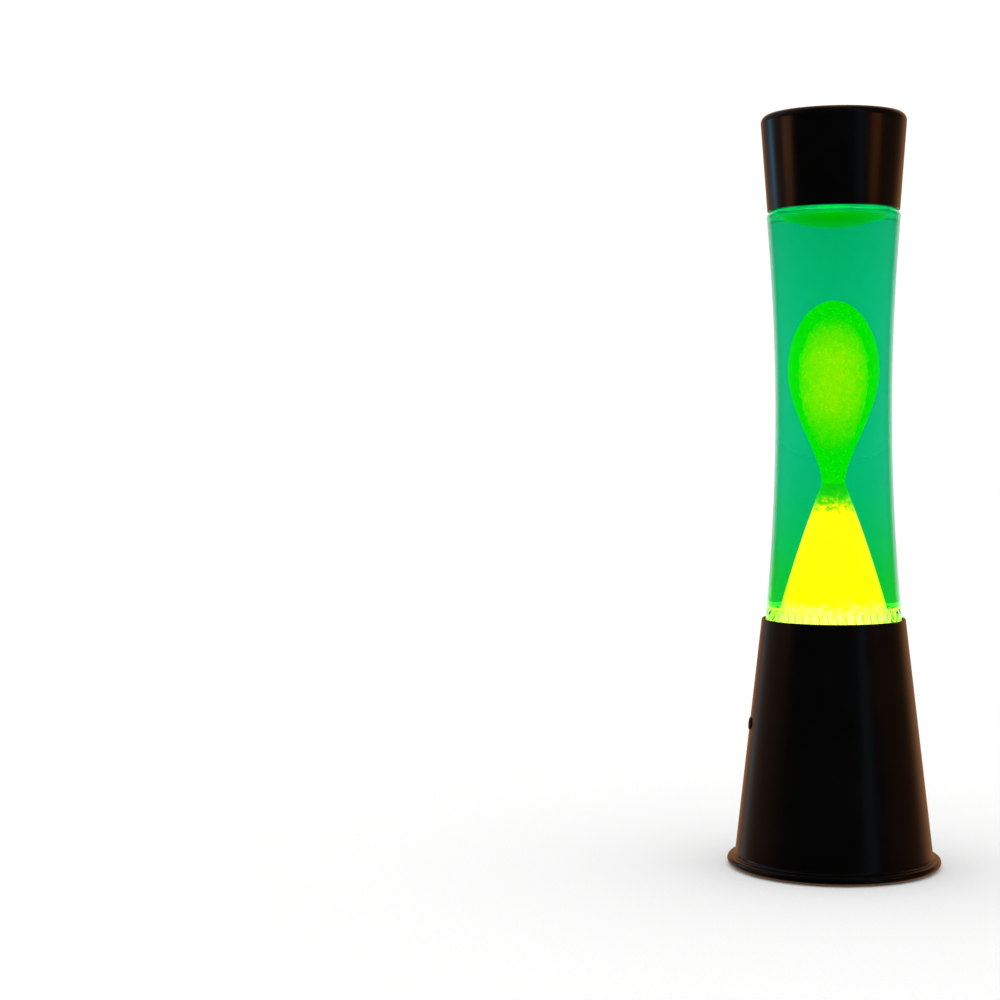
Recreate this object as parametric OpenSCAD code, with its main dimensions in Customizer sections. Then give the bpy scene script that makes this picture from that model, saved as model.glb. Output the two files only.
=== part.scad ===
// Lava lamp: a wax-and-liquid bottle on a spun metal base with a reflector bulb
// under it. Everything stands on the plane z = 0, round the Z axis.

/* [Overall] */
// Height of the whole lamp, from the table to the top of the cap
lamp_h = 395; // [380:1:410]
// Diameter of the base over its rolled foot
foot_d = 112; // [106:1:120]

/* [Base] */
// Height of the top rim of the base
base_h = 131; // [124:1:136]
// Diameter of the base shell at its top rim
rim_d = 75; // [74.6:0.1:80]
// Diameter of the base shell where it meets its foot
cone_d = 103.4; // [98:0.2:105]
// Thickness of the spun sheet
sheet_t = 1.0; // [0.7:0.1:1.1]
// Thickness of the rolled foot, over the bead
bead_t = 4.2; // [3.4:0.1:5]
// Height of the rubber feet that show below the foot
feet_show = 1.0; // [0.6:0.1:2]
// Diameter of each rubber foot
feet_d = 11; // [8:0.5:14]
// Diameter of the circle the rubber feet stand on
feet_circle_d = 84; // [76:1:86]
// Diameter of the supply lead that the bushing takes
lead_d = 3.4; // [2.8:0.1:4.2]
// Height of the middle of the bushing
lead_z = 75.5; // [50:0.5:90]

/* [Bottle] */
// Diameter of the bottle at its waist
waist_d = 60.7; // [56:0.1:61]
// How far the bottle flares out from its waist to its foot, on each side
side_flare = 5.84; // [3.4:0.02:5.84]
// Thickness of the glass
glass_t = 2.5; // [1.8:0.1:3]
// Depth of the bottle's foot below the rim of the base
bottle_sink = 7; // [6:0.5:9]
// Radius of the rounded heel
heel_r = 5; // [4.5:0.5:6]
// Radius of the rounded shoulder under the cap
shoulder_r = 3.5; // [3:0.1:4.5]
// Diameter of the neck
neck_d = 26; // [24:0.5:28]

/* [Cap] */
// Height of the cap
cap_h = 50; // [46:1:54]
// Diameter of the cap at its lower rim
cap_rim_d = 68.8; // [68:0.1:72]
// Diameter of the cap just under its top edge
cap_top_d = 75.6; // [72:0.1:80]
// Radius of the rounded top edge of the cap
cap_edge_r = 4.2; // [3:0.1:6]

/* [Wax] */
// Widest diameter of the rising blob
blob_d = 35.6; // [30:0.1:37]
// Height of the top of the blob
blob_top = 298; // [288:0.5:299]
// Height where the blob is widest
blob_wide_z = 262; // [256:1:266]
// Height where the blob's tail leaves the mound
pinch_z = 200.5; // [192:0.5:203]
// Diameter of the tail where it leaves the mound
pinch_d = 9.2; // [7:0.1:12]
// Diameter of the mound where it lies on the floor of the bottle
mound_d = 45; // [40:0.5:46]
// Diameter of the pool that hangs under the shoulder
pool_d = 43; // [34:0.5:46]
// Depth of that pool
pool_h = 6.6; // [4:0.1:8]
// How far the blob can rise from where it is shown
blob_rise = 34; // [10:1:34]
// Gap between two bodies of wax, and between the blob and the liquid
wax_gap = 0.4; // [0.35:0.05:0.6]

/* [Bulb] */
// Diameter of the reflector bulb
bulb_d = 39; // [36:0.5:44]
// Length of the bulb, from its contact to its face
bulb_len = 67; // [64:0.5:69]
// Height of the bulb's centre contact
bulb_z = 41; // [40:0.5:42]
// Pitch of the bulb's screw thread
thread_pitch = 2.822; // [2.8:0.001:2.85]
// Largest diameter of the thread on the bulb's cap
thread_d = 13.89; // [13.7:0.01:13.9]
// Smallest diameter of that thread
thread_root_d = 12.29; // [12.2:0.01:12.4]
// Clearance all round between that thread and its holder
thread_clear = 0.16; // [0.12:0.01:0.22]

/* [Holder] */
// Diameter of the lampholder's body
holder_d = 27; // [25:0.5:30]
// Diameter of the threaded tube that carries the holder
nipple_d = 10; // [9:0.5:11]
// Width over the flats of the nuts on that tube
nut_af = 14; // [13:0.5:16]

/* [Hidden] */
$fn = 96;
run_fit = 0.03;                    // a screw in its hole, a bushing in its wall
bush_wall = 0.7;                   // wall of the bushing where it passes through the shell

// base shell
foot_z = feet_show;                // underside of the rolled foot
bead_r = bead_t / 2;
cone_z = foot_z + bead_t + 2.2;    // where the cone passes into the flange
slope = (cone_d - rim_d) / 2 / (base_h - cone_z);
function cone_r(z) = rim_d / 2 + slope * (base_h - z);
function wall_r(z) = cone_r(z) - sheet_t;
plate_t = 1.2;
plate_z = foot_z + 2.2;            // underside of the bottom plate's edge
plate_r = wall_r(plate_z + plate_t) - 0.5;
dish_z = plate_z + 5.8;            // underside of its raised middle
dish_r = 22;
lug_r = 44.6;                      // circle of the plate's screws
screw_r = 2;

// bottle
floor_out = base_h - bottle_sink;
shoulder_z = lamp_h - cap_h;
waist_z = (floor_out + shoulder_z) / 2 + 6;
side_curve_r = (pow(waist_z - floor_out, 2) + pow(side_flare, 2)) / (2 * side_flare);
floor_t = 4;
floor_in = floor_out + floor_t;
roof_in = shoulder_z - glass_t;    // underside of the shoulder
neck_top = shoulder_z + 27;
bore_r = neck_d / 2 - 4.4;
fill_z = shoulder_z + 5;           // top of the wax that stands in the neck

// wire coil on the floor of the bottle
coil_ring_r = 28;
coil_r = 4;
wire_r = 0.5;
coil_turns = 36;

// bulb and holder
holder_z = bulb_z - 17;
holder_top = bulb_z + 19;
web_z = bulb_z - 5;                // underside of the web with the contacts
web_t = 2.5;
thread_mid_r = (thread_d + thread_root_d) / 4;
thread_ecc = (thread_d - thread_root_d) / 4;
face_z = bulb_z + bulb_len;
neck_glass_r = 8.2;

// ---------- base ----------

// Spun shell: a cone with a rounded rim, a small cove and a rolled foot.
module base_shell() {
    color("black")
    difference() {
        rotate_extrude() difference() {
            union() {
                polygon([[0, foot_z + 1], [cone_r(foot_z + 1), foot_z + 1],
                         [cone_r(base_h - sheet_t / 2), base_h - sheet_t / 2],
                         [0, base_h - sheet_t / 2]]);
                translate([cone_r(base_h) - sheet_t / 2 + 0.05, base_h - sheet_t / 2])
                    circle(r = sheet_t / 2);
                // flange and its bead
                translate([cone_d / 2 - 3, foot_z + bead_t - sheet_t])
                    square([foot_d / 2 - bead_r - cone_d / 2 + 3, sheet_t]);
                translate([foot_d / 2 - bead_r, foot_z + bead_r]) circle(r = bead_r);
                // cove between cone and flange
                difference() {
                    translate([cone_d / 2 - 2, foot_z + bead_t - 0.5]) square([3.6, 3.1]);
                    translate([cone_d / 2 + 2.25, foot_z + bead_t + 2.3]) circle(r = 2.3);
                }
            }
            // the hollow of the cone
            polygon([[0, foot_z - 1], [wall_r(foot_z - 1), foot_z - 1],
                     [wall_r(base_h + 1), base_h + 1], [0, base_h + 1]]);
            // the hollow of the bead, open below
            translate([foot_d / 2 - bead_r, foot_z + bead_r]) circle(r = bead_r - sheet_t);
            translate([wall_r(foot_z) - 1, foot_z - 1])
                square([foot_d / 2 - bead_r - wall_r(foot_z) + 1, bead_t - sheet_t + 1]);
        }
        lead_hole(lead_d / 2 + bush_wall);
    }
}

// A round hole through the wall at the bushing, square to the cone.
module lead_hole(r) {
    at_lead() translate([0, 0, -4]) cylinder(r = r, h = 8);
}

// Origin on the outside of the wall at the bushing, +Z straight out of it.
module at_lead() {
    translate([-cone_r(lead_z), 0, lead_z]) rotate([0, -90 + atan(slope), 0]) children();
}

// Ring wedged in the taper of the shell; the bottle stands on it.
module seat_ring() {
    ring_h = 9;
    color("dimgray")
    rotate_extrude() difference() {
        polygon([[24, floor_out - 2], [24, floor_out], [wall_r(floor_out), floor_out],
                 [wall_r(floor_out - ring_h), floor_out - ring_h],
                 [wall_r(floor_out - ring_h) - 1.6, floor_out - ring_h],
                 [wall_r(floor_out) - 3, floor_out - 2]]);
        // relief under the bottle's rounded heel
        translate([wall_r(floor_out) - 1.2, floor_out - 0.8]) square([0.6, 2]);
    }
}

// Pressed plate that closes the base, raised in the middle, with vent holes.
module bottom_plate() {
    color("silver")
    difference() {
        rotate_extrude() polygon([
            [0, dish_z], [0, dish_z + plate_t], [dish_r, dish_z + plate_t],
            [dish_r + 7, plate_z + plate_t], [plate_r, plate_z + plate_t],
            [plate_r, plate_z], [dish_r + 6, plate_z], [dish_r - 1, dish_z]]);
        translate([0, 0, dish_z - 1]) cylinder(r = nipple_d / 2 + run_fit, h = 4);
        for (k = [0:2]) rotate([0, 0, 60 + 120 * k]) translate([lug_r, 0, plate_z - 1])
            cylinder(r = screw_r + 0.2, h = 4);
        for (k = [0:3]) rotate([0, 0, 45 + 90 * k])
            translate([feet_circle_d / 2, 0, plate_z - 1]) cylinder(r = 2, h = 4);
        for (k = [0:11]) rotate([0, 0, 30 * k]) translate([35, 0, plate_z - 1])
            cylinder(r = 2.6, h = 4);
        for (k = [0:5]) rotate([0, 0, 60 * k]) translate([15, 0, dish_z - 1])
            cylinder(r = 2.6, h = 4);
    }
}

// Three lugs welded inside the shell, tapped for the plate's screws.
module plate_lugs() {
    lug_z = plate_z + plate_t;
    color("silver")
    for (k = [0:2]) rotate([0, 0, 60 + 120 * k]) difference() {
        intersection() {
            translate([lug_r - 4.5, -5, lug_z]) cube([14, 10, 8]);
            cylinder(r1 = wall_r(0), r2 = wall_r(40), h = 40);
        }
        translate([lug_r, 0, lug_z - 1]) cylinder(r = screw_r + run_fit, h = 10);
        translate([lug_r - 6, -6, lug_z + 2]) cube([6 + 3.2, 12, 8]);
    }
}

// Pan-head screws that hold the plate, driven from below.
module plate_screws() {
    color("silver")
    for (k = [0:2]) rotate([0, 0, 60 + 120 * k]) translate([lug_r, 0, plate_z]) difference() {
        union() {
            translate([0, 0, -1.7]) cylinder(r1 = 3.0, r2 = 3.6, h = 0.6);
            translate([0, 0, -1.1]) cylinder(r = 3.6, h = 1.1);
            cylinder(r = screw_r, h = 5.6);
        }
        for (a = [0, 90]) rotate([0, 0, a]) translate([-2, -0.35, -2.2]) cube([4, 0.7, 1.5]);
    }
}

// Push-in rubber feet: a pad, a stem through the plate and a barb above it.
module rubber_feet() {
    color("dimgray")
    for (k = [0:3]) rotate([0, 0, 45 + 90 * k]) translate([feet_circle_d / 2, 0, 0]) {
        cylinder(r1 = feet_d / 2 - 0.8, r2 = feet_d / 2, h = 0.8);
        translate([0, 0, 0.8]) cylinder(r = feet_d / 2, h = plate_z - 0.8);
        cylinder(r = 2 - run_fit, h = plate_z + plate_t + 0.5);
        translate([0, 0, plate_z + plate_t]) cylinder(r1 = 2.9, r2 = 1.6, h = 3);
    }
}

// Snap-in bushing that the supply lead comes through.
module cord_bushing() {
    lead_r = lead_d / 2;
    neck_r = lead_r + bush_wall - run_fit;
    color("black")
    at_lead() rotate_extrude() polygon([
        [lead_r, -4.2], [lead_r, 0.5], [lead_r + 0.3, 0.7], [lead_r + 1.3, 0.7],
        [lead_r + 1.6, 0.45], [lead_r + 1.6, 0.05], [neck_r, 0.05], [neck_r, -sheet_t - 0.35],
        [neck_r + 0.5, -sheet_t - 0.6], [neck_r - 0.02, -4.2]]);
}

// ---------- lampholder ----------

// Hollow threaded tube that ties the holder to the plate.
module holder_nipple() {
    color("silver")
    translate([0, 0, dish_z - 4]) difference() {
        cylinder(r = nipple_d / 2, h = holder_z + 3 - dish_z + 4);
        translate([0, 0, -1]) cylinder(r = nipple_d / 2 - 1.4, h = 60);
    }
}

module nipple_nuts() {
    color("silver")
    for (z = [dish_z - 3.2, dish_z + plate_t + 1]) translate([0, 0, z]) difference() {
        cylinder(r = nut_af / 2 / cos(30), h = 3.2 - (z < dish_z ? 0.8 : 0), $fn = 6);
        translate([0, 0, -1]) cylinder(r = nipple_d / 2 + run_fit, h = 6);
    }
}

// Washers between the nuts and the plate.
module nipple_washers() {
    color("silver")
    for (w = [[dish_z - 0.8, 0.8], [dish_z + plate_t, 1]]) translate([0, 0, w[0]]) difference() {
        cylinder(r = 10, h = w[1]);
        translate([0, 0, -1]) cylinder(r = nipple_d / 2 + 0.2, h = 4);
    }
}

// Moulded body: a chamber for the terminals below, the thread's bore above.
module holder_body() {
    body_r = holder_d / 2;
    color("ivory")
    difference() {
        rotate_extrude() difference() {
            polygon([[0, holder_z], [body_r - 1.5, holder_z], [body_r, holder_z + 1.5],
                     [body_r, holder_top - 8], [body_r - 1.6, holder_top - 6],
                     [body_r - 1.6, holder_top - 0.6], [body_r - 2.2, holder_top], [0, holder_top]]);
            translate([0, holder_z - 1]) square([nipple_d / 2 + run_fit, 6]);
            translate([0, holder_z + 3]) square([body_r - 2.5, web_z - holder_z - 3]);
            translate([0, web_z + web_t]) square([thread_mid_r + thread_ecc + thread_clear + 0.5, 60]);
        }
        // slots in the web for the tails of the two contacts
        for (a = [0, 180]) rotate([0, 0, a]) translate([4.6, -2.2, web_z - 1]) cube([0.8, 4.4, 6]);
        // way in for the wires
        translate([0, 0, holder_z + 6.5]) rotate([90, 0, 0]) cylinder(r = 2.2, h = 30);
    }
}

// Radius added by the thread at an angle and a height: one right-hand ridge a pitch.
function ridge(angle, z) = thread_ecc * cos(angle - 360 * (z - bulb_z) / thread_pitch);

// A closed tube from rings of points: at(k) gives the height of station k, out_r and
// in_r the outer and inner radius there, and the ridge is rolled in up to ridge_top.
module rolled_tube(stations, ridge_top) {
    sides = 24;
    n = len(stations);
    function ring(k, c) = let (z = stations[k][0]) [for (s = [0:sides - 1])
        let (a = 360 * s / sides, r = stations[k][c] + (z <= ridge_top ? ridge(a, z) : 0))
        [r * cos(a), r * sin(a), z]];
    pts = [for (k = [0:n - 1]) each ring(k, 1), for (k = [0:n - 1]) each ring(n - 1 - k, 2)];
    faces = [for (k = [0:2 * n - 1], s = [0:sides - 1]) let (a = k * sides + s,
                 b = k * sides + (s + 1) % sides, c = (k + 1) % (2 * n) * sides + s,
                 d = (k + 1) % (2 * n) * sides + (s + 1) % sides) each [[a, c, b], [b, c, d]]];
    polyhedron(points = pts, faces = faces, convexity = 12);
}
steps_a_turn = 9;

// Rolled metal sleeve with the inner thread, standing on the web's contact strip.
module holder_thread() {
    z1 = web_z + web_t + 0.4;
    z2 = holder_top - 0.5;
    n = ceil((z2 - z1) / thread_pitch * steps_a_turn);
    r = thread_mid_r + thread_clear;
    color("gold") rolled_tube([for (k = [0:n]) [z1 + (z2 - z1) * k / n, r + 0.45, r]], z2 + 1);
}

// Springy tongue under the bulb's contact, with its tail through the web.
module centre_contact() {
    top = web_z + web_t;
    color("gold") {
        translate([-2.5, -1.8, top]) cube([7.9, 3.6, 0.4]);
        translate([4.8, -1.8, web_z - 5]) cube([0.4, 3.6, top - web_z + 5.2]);
        translate([-2.5, -1.8, top]) cube([0.4, 3.6, bulb_z - top - 0.4]);
        translate([-2.5, -1.8, bulb_z - 0.8]) cube([4.6, 3.6, 0.4]);
    }
}

// Strip under the threaded sleeve, with its tail through the web.
module shell_contact() {
    top = web_z + web_t;
    color("gold") {
        translate([-7.2, -1.8, top]) cube([2.8, 3.6, 0.4]);
        translate([-5.2, -1.8, web_z - 5]) cube([0.4, 3.6, top - web_z + 5.2]);
    }
}

// Brass blocks that clamp the wires to the contacts' tails.
module terminal_blocks() {
    color("gold")
    for (a = [0, 180]) rotate([0, 0, a]) translate([5.2, 0, web_z - 5.5]) difference() {
        translate([0, -2.5, 0]) cube([4.6, 5, 5]);
        translate([-1, 0, 2.4]) rotate([0, 90, 0]) cylinder(r = 1.25, h = 8);
        translate([2.6, 0, -1]) cylinder(r = 1.25 + run_fit, h = 3.6);
    }
}

module terminal_screws() {
    color("silver")
    for (a = [0, 180]) rotate([0, 0, a]) translate([7.8, 0, web_z - 8.2]) difference() {
        union() {
            cylinder(r = 2.1, h = 1.4);
            cylinder(r = 1.25, h = 4.4);
        }
        translate([-3, -0.3, -1]) cube([6, 0.6, 1.7]);
    }
}

// ---------- bulb ----------

// Solder button of the centre contact.
module bulb_tip() {
    color("silver") translate([0, 0, bulb_z]) {
        translate([0, 0, 0.6]) cylinder(r = 2.3, h = 1.4);
        cylinder(r1 = 1.5, r2 = 2.3, h = 0.6);
    }
}

module bulb_insulator() {
    color("black") translate([0, 0, bulb_z]) difference() {
        cylinder_between(1.2, 3.0, 5.2, 5.8);
        translate([0, 0, 0]) cylinder(r = 2.3 + 0.35, h = 2.4);
    }
}

// A cone from height z1, radius r1, to height z2, radius r2.
module cylinder_between(z1, r1, z2, r2) {
    translate([0, 0, z1]) cylinder(r1 = r1, r2 = r2, h = z2 - z1);
}

// Rolled screw shell of the bulb, with the skirt that holds the glass.
module bulb_cap() {
    z1 = bulb_z + 5.2;
    z2 = holder_top + 0.4;
    n = ceil((z2 - z1) / thread_pitch * steps_a_turn);
    r = thread_mid_r;
    color("silver") rolled_tube(concat(
        [for (k = [0:n]) [z1 + (z2 - z1) * k / n, r, r - 0.4]],
        [[z2 + 0.4, r, r - 0.4], [z2 + 2, neck_glass_r + 0.3, neck_glass_r],
         [z2 + 6, neck_glass_r + 0.4, neck_glass_r + 0.1]]), z2);
}

// Half-width of the bulb's glass at a height above the contact.
glass_z0 = holder_top + 2.6 - bulb_z;
face_rise = 5.5;                   // how far the face of the bulb is domed
widest = bulb_len - face_rise - 3;
function bulb_r(z) = z < glass_z0 + 5 ? neck_glass_r - 0.15 - run_fit
    : neck_glass_r - 0.15 - run_fit + (bulb_d / 2 - neck_glass_r + 0.15 + run_fit)
      * pow(sin(90 * min(1, (z - glass_z0 - 5) / (widest - glass_z0 - 5))), 1.25);

bulb_wall = 0.9;
module bulb_profile(inset) {
    r = bulb_d / 2 - inset;
    n = 16;
    m = 8;
    z1 = bulb_z + glass_z0 + inset;
    z2 = bulb_z + widest;
    z3 = face_z - face_rise - inset;
    face_r = (r * r + face_rise * face_rise) / (2 * face_rise);
    polygon(concat([[0, z1]],
        [for (k = [0:n]) let (z = z1 + (z2 - z1) * k / n) [bulb_r(z - bulb_z) - inset, z]],
        [for (k = [0:m - 1]) let (x = r * (1 - k / m))
            [x, z3 + face_rise - face_r + sqrt(face_r * face_r - x * x)]],
        [[0, z3 + face_rise]]));
}

// Glass envelope, silvered on its cone and frosted on its face.
module bulb_glass() {
    color("white")
    rotate_extrude() difference() {
        bulb_profile(0);
        bulb_profile(bulb_wall);
    }
}

// Glass stem inside the neck, pinched flat at its top round the leads.
stem_z = bulb_z + glass_z0 + bulb_wall;
stem_h = 15;
module bulb_stem() {
    color("lightblue") translate([0, 0, stem_z]) {
        cylinder(r1 = 5.6, r2 = 2.4, h = 5);
        translate([0, 0, 5]) cylinder(r = 2.4, h = 5);
        translate([-3.4, -1.2, 9]) cube([6.8, 2.4, stem_h - 9]);
    }
}

// The two lead wires lean outwards from the stem and hold the filament between them.
filament_z = bulb_z + 46;
lead_x = 6;                        // how far out the leads reach
lead_foot_x = 2.2;
lead_wire_r = 0.35;
filament_r = 0.4;
wires_z = stem_z + stem_h;
lead_rise = filament_z + 1 - (wires_z - 1);
lead_tilt = atan((lead_x - lead_foot_x) / lead_rise);
module bulb_leads() {
    color("silver") difference() {
        for (s = [-1, 1]) translate([s * lead_foot_x, 0, wires_z - 1]) rotate([0, s * lead_tilt, 0])
            cylinder(r = lead_wire_r, h = lead_rise / cos(lead_tilt));
        translate([-10, -10, wires_z - 20]) cube([20, 20, 20]);
    }
}

module filament() {
    // up to the inner flanks of the two leads
    half = lead_x - (1 + filament_r) * tan(lead_tilt) - lead_wire_r / cos(lead_tilt);
    color("gold") translate([-half, 0, filament_z]) rotate([0, 90, 0])
        cylinder(r = filament_r, h = 2 * half);
}

// ---------- bottle ----------

// Radius of the bottle's side at a height, taken in by an inset.
function side_r(z, inset) = waist_d / 2 + side_curve_r
    - sqrt(pow(side_curve_r + inset, 2) - pow(z - waist_z, 2));

// What is cut off a square corner at [x, z] to round it; up is 1 at a heel, -1 at a shoulder.
module corner_cut(x, z, r, up) {
    difference() {
        translate([x, up > 0 ? z - r - 1 : z]) square([20, r + 1]);
        translate([x, z]) circle(r = r);
    }
}

// Half section of the bottle, taken in by an inset; the side is one true arc.
arc_lead = 0.02;                   // each corner's arc starts this far outside the side
module bottle_body(inset, heel, z1, z2, shoulder) {
    difference() {
        translate([0, z1]) square([side_r(z1, inset) + 4, z2 - z1]);
        translate([waist_d / 2 + side_curve_r, waist_z]) circle(r = side_curve_r + inset, $fn = 720);
        corner_cut(side_r(z1 + heel, inset) - heel + arc_lead, z1 + heel, heel, 1);
        corner_cut(side_r(z2 - shoulder, inset) - shoulder + arc_lead, z2 - shoulder, shoulder, -1);
    }
}

// Blown bottle with a hollow waist, a short neck and a crown finish.
module glass_bottle() {
    neck_r = neck_d / 2;
    cove = 7;
    color("palegreen")
    rotate_extrude() difference() {
        union() {
            bottle_body(0, heel_r, floor_out, shoulder_z, shoulder_r);
            translate([0, shoulder_z - 1]) square([neck_r - 0.5, neck_top - shoulder_z + 1]);
            // cove from shoulder to neck
            difference() {
                translate([0, shoulder_z - 0.5]) square([neck_r + cove - 0.5, cove + 0.5]);
                translate([neck_r + cove - 0.5, shoulder_z + cove]) circle(r = cove);
            }
            // ring below the finish, and the lip the crown grips
            translate([neck_r - 0.5, shoulder_z + 17.5]) circle(r = 1.6);
            translate([neck_r - 1.7, neck_top - 3.4]) circle(r = 1.9);
            translate([0, neck_top - 3.4]) square([neck_r + 0.2, 1.6]);
        }
        bottle_body(glass_t, heel_r - glass_t, floor_in, roof_in, shoulder_r - 1.5);
        translate([0, roof_in - 1]) square([bore_r, 60]);
        // pushed-up middle of the foot
        translate([0, floor_out - 179.2]) circle(r = 180, $fn = 360);
    }
}

// Spring coil of wire that lies round the floor of the bottle.
module wire_coil() {
    steps = 10;
    sides = 6;
    n = coil_turns * steps;
    function at(a) = let (b = a * coil_turns)
        [(coil_ring_r + coil_r * cos(b)) * cos(a), (coil_ring_r + coil_r * cos(b)) * sin(a),
         coil_r * sin(b)];
    function unit(v) = v / norm(v);
    pts = [for (k = [0:n - 1]) let (a = 360 * k / n, p = at(a), t = unit(at(a + 0.05) - at(a - 0.05)),
               out = unit(p - coil_ring_r * [cos(a), sin(a), 0]), u = unit(cross(t, out)),
               w = cross(u, t))
           for (s = [0:sides - 1]) p + wire_r * (cos(360 * s / sides) * w + sin(360 * s / sides) * u)];
    tri = [for (k = [0:n - 1], s = [0:sides - 1]) let (a = k * sides + s,
               b = k * sides + (s + 1) % sides, c = ((k + 1) % n) * sides + s,
               d = ((k + 1) % n) * sides + (s + 1) % sides) each [[a, c, b], [b, c, d]]];
    color("silver") translate([0, 0, floor_in + coil_r + wire_r + 0.02])
        polyhedron(points = pts, faces = tri, convexity = 20);
}

// ---------- wax and liquid ----------

// Radius of the blob at a part t of the way from its tail to where it is widest.
function blob_low(t) = pinch_d / 2 + (blob_d - pinch_d) / 2 * pow(sin(90 * t), 1.5);
module blob_half_top(g, lift) {
    n = 12;
    polygon(concat([[0, blob_wide_z + lift]],
        [for (k = [0:n]) [(blob_d / 2 + g) * cos(90 * k / n),
                          blob_wide_z + lift + (blob_top - blob_wide_z + g) * sin(90 * k / n)]]));
}
tail_z = pinch_z + pinch_d / 2 * 0.7;
module blob_half_low(g) {
    n = 14;
    polygon(concat([[0, blob_wide_z + 0.01], [0, pinch_z - g]],
        [for (k = [1:4]) [(pinch_d / 2 + g) * sin(22.5 * k),
                          tail_z - (tail_z - pinch_z + g) * cos(22.5 * k)]],
        [for (k = [1:n]) let (t = k / n) [blob_low(t) + g, tail_z + (blob_wide_z - tail_z) * t]],
        [[blob_d / 2 + g, blob_wide_z + 0.01]]));
}

// Drop of wax just leaving the mound.
module wax_blob() {
    color("yellowgreen") rotate_extrude() {
        blob_half_top(0, 0);
        blob_half_low(0);
    }
}

// Room in the liquid for the blob, all the way up its path.
module blob_path() {
    rotate_extrude() {
        blob_half_low(wax_gap);
        translate([0, blob_wide_z]) square([blob_d / 2 + wax_gap, blob_rise]);
        blob_half_top(wax_gap, blob_rise);
    }
}

// Radius of the mound at a part t of the way up from the floor.
mound_top = pinch_z + 1.2;
function mound_r(t) = pinch_d / 2 + 0.2 + (mound_d - pinch_d - 0.4) / 2
                      * (1 - t + 0.04 * sin(180 * (1 - t)));
module mound_profile(g) {
    n = 18;
    polygon(concat([[0, floor_in]],
        [for (k = [0:n]) [mound_r(k / n) + g, floor_in + (mound_top - floor_in + g) * k / n]],
        [[0, mound_top + g]]));
}
module wax_mound() {
    color("yellow") difference() {
        rotate_extrude() mound_profile(0);
        rotate_extrude() blob_half_low(wax_gap);
    }
}

// Wax that has spread under the shoulder and stands in the neck.
skin = 0.02;                       // between the liquid or the wax and the glass
module pool_profile(g, neck_r) {
    r = pool_d / 2 + g;
    h = pool_h + g;
    n = 12;
    polygon(concat([[0, fill_z], [neck_r, fill_z], [neck_r, roof_in - skin / 2]],
        [for (k = [0:n - 1]) let (x = k / n) [r * (1 - x), roof_in - skin / 2 - h * x * (2 - x)]],
        [[0, roof_in - skin / 2 - h]]));
}
module wax_pool() {
    color("green") rotate_extrude() pool_profile(0, bore_r - 4 * skin);
}

// Coloured liquid, from the floor of the bottle up to the wax under its shoulder.
module liquid_fill() {
    color("mediumseagreen")
    difference() {
        rotate_extrude() bottle_body(glass_t + skin, heel_r - glass_t, floor_in + skin,
                                     roof_in - skin, shoulder_r - 1.5);
        rotate_extrude() mound_profile(skin);
        rotate_extrude() pool_profile(skin, bore_r);
        blob_path();
        rotate_extrude() translate([coil_ring_r, floor_in + coil_r + wire_r])
            circle(r = coil_r + wire_r + 0.2);
    }
}

// ---------- closure and cap ----------

crown_top = neck_top + 0.9;
// Crimped steel crown on the neck.
module crown_cap() {
    flutes = 21;
    lip_r = neck_d / 2 + 0.25;
    color("silver")
    difference() {
        rotate_extrude() difference() {
            polygon([[0, crown_top], [lip_r - 0.9, crown_top], [lip_r + 0.3, crown_top - 0.6],
                     [lip_r + 0.9, crown_top - 2.4], [lip_r + 2.6, crown_top - 6.2],
                     [lip_r + 2.2, crown_top - 6.2], [0, crown_top - 6.2]]);
            polygon([[0, crown_top - 0.3], [lip_r - 1, crown_top - 0.3], [lip_r, crown_top - 0.9],
                     [lip_r + 0.6, crown_top - 2.6], [lip_r + 2.2, crown_top - 6.3],
                     [0, crown_top - 6.3]]);
        }
        for (k = [0:flutes - 1]) rotate([0, 0, 360 * k / flutes])
            translate([lip_r + 3.2, 0, crown_top - 7]) cylinder(r = 1.25, h = 4.4);
    }
}

// Soft liner between the crown and the lip.
module crown_liner() {
    color("ivory") translate([0, 0, neck_top]) cylinder(r = neck_d / 2 - 1.2, h = 0.6);
}

// Spun cap, flared towards the top, with its rim turned in onto the shoulder.
module cap_shell() {
    top_r = cap_top_d / 2;
    z_edge = lamp_h - cap_edge_r;
    rim_r = cap_rim_d / 2;
    flare = (top_r - rim_r) / (z_edge - shoulder_z);
    hem = 4.2;
    color("black")
    rotate_extrude() difference() {
        union() {
            polygon([[0, shoulder_z], [rim_r, shoulder_z], [top_r, z_edge], [0, z_edge]]);
            translate([0, z_edge - 0.01]) square([top_r - cap_edge_r, cap_edge_r + 0.01]);
            intersection() {
                translate([top_r - cap_edge_r, z_edge]) circle(r = cap_edge_r);
                translate([0, z_edge - 0.01]) square([top_r + 1, 20]);
            }
        }
        polygon([[0, shoulder_z + sheet_t], [rim_r - sheet_t + flare * sheet_t, shoulder_z + sheet_t],
                 [top_r - sheet_t, z_edge], [0, z_edge]]);
        translate([0, z_edge - 0.02])
            square([top_r - cap_edge_r, cap_edge_r - sheet_t + 0.02]);
        intersection() {
            translate([top_r - cap_edge_r, z_edge]) circle(r = cap_edge_r - sheet_t);
            translate([0, z_edge - 0.02]) square([top_r + 1, 20]);
        }
        translate([0, shoulder_z - 1]) square([rim_r - hem, 3]);
    }
}

base_shell();
seat_ring();
bottom_plate();
plate_lugs();
plate_screws();
rubber_feet();
cord_bushing();
holder_nipple();
nipple_nuts();
nipple_washers();
holder_body();
holder_thread();
centre_contact();
shell_contact();
terminal_blocks();
terminal_screws();
bulb_tip();
bulb_insulator();
bulb_cap();
bulb_glass();
bulb_stem();
bulb_leads();
filament();
glass_bottle();
wire_coil();
liquid_fill();
wax_mound();
wax_blob();
wax_pool();
crown_cap();
crown_liner();
cap_shell();
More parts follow.
